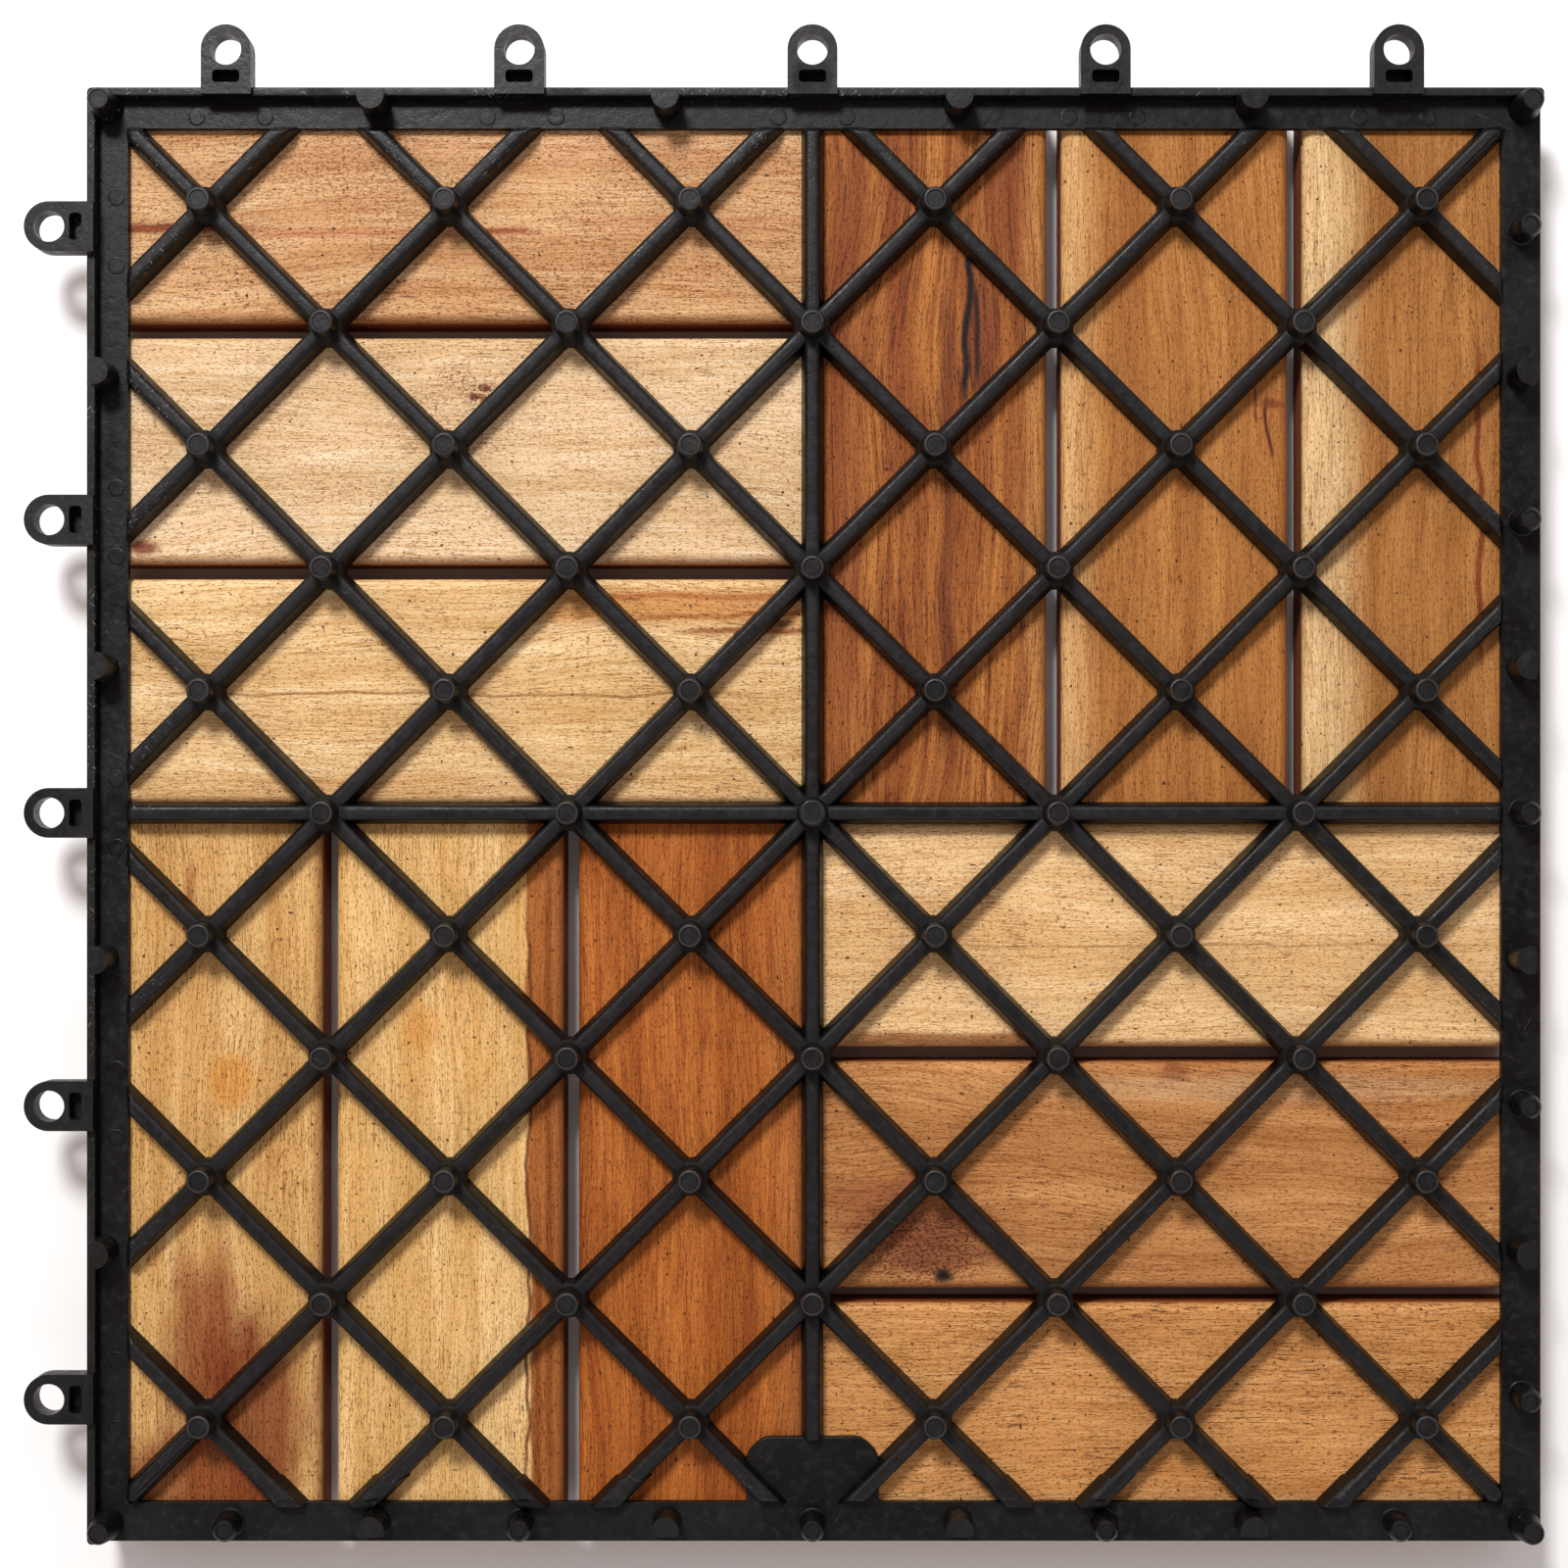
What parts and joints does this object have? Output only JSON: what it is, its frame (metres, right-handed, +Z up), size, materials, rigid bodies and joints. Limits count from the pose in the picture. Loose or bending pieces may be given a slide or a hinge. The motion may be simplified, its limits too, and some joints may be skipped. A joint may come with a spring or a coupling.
{
  "type": "interlocking deck tile",
  "caption": "Square deck tile: wooden slats in panels turned by a quarter, on a moulded plastic grid with feet, edge loops and pins.",
  "frame": {"origin": "middle of the tile's bounding box, on the ground, with the tile face down as in the picture", "axes": "+Z up out of the underside, through the feet; +X from the loops of one side towards the pins opposite; +Y towards the other side with loops"},
  "size_m": [0.309, 0.309, 0.021],
  "materials": {
    "black_plastic": "moulded, satin, with fine scuffs",
    "wood_pale": "bare, planed",
    "wood_tan": "bare, planed",
    "wood_red_brown": "bare, planed"
  },
  "bodies": {
    "root": {"moulded_grid": "black_plastic", "slat_top_left_1": "wood_tan", "slat_top_left_2": "wood_pale", "slat_top_left_3": "wood_pale", "slat_top_right_1": "wood_red_brown", "slat_top_right_2": "wood_tan", "slat_top_right_3": "wood_tan", "slat_bottom_left_1": "wood_tan", "slat_bottom_left_2": "wood_pale", "slat_bottom_left_3": "wood_red_brown", "slat_bottom_right_1": "wood_pale", "slat_bottom_right_2": "wood_tan", "slat_bottom_right_3": "wood_tan"}
  },
  "joints": []
}
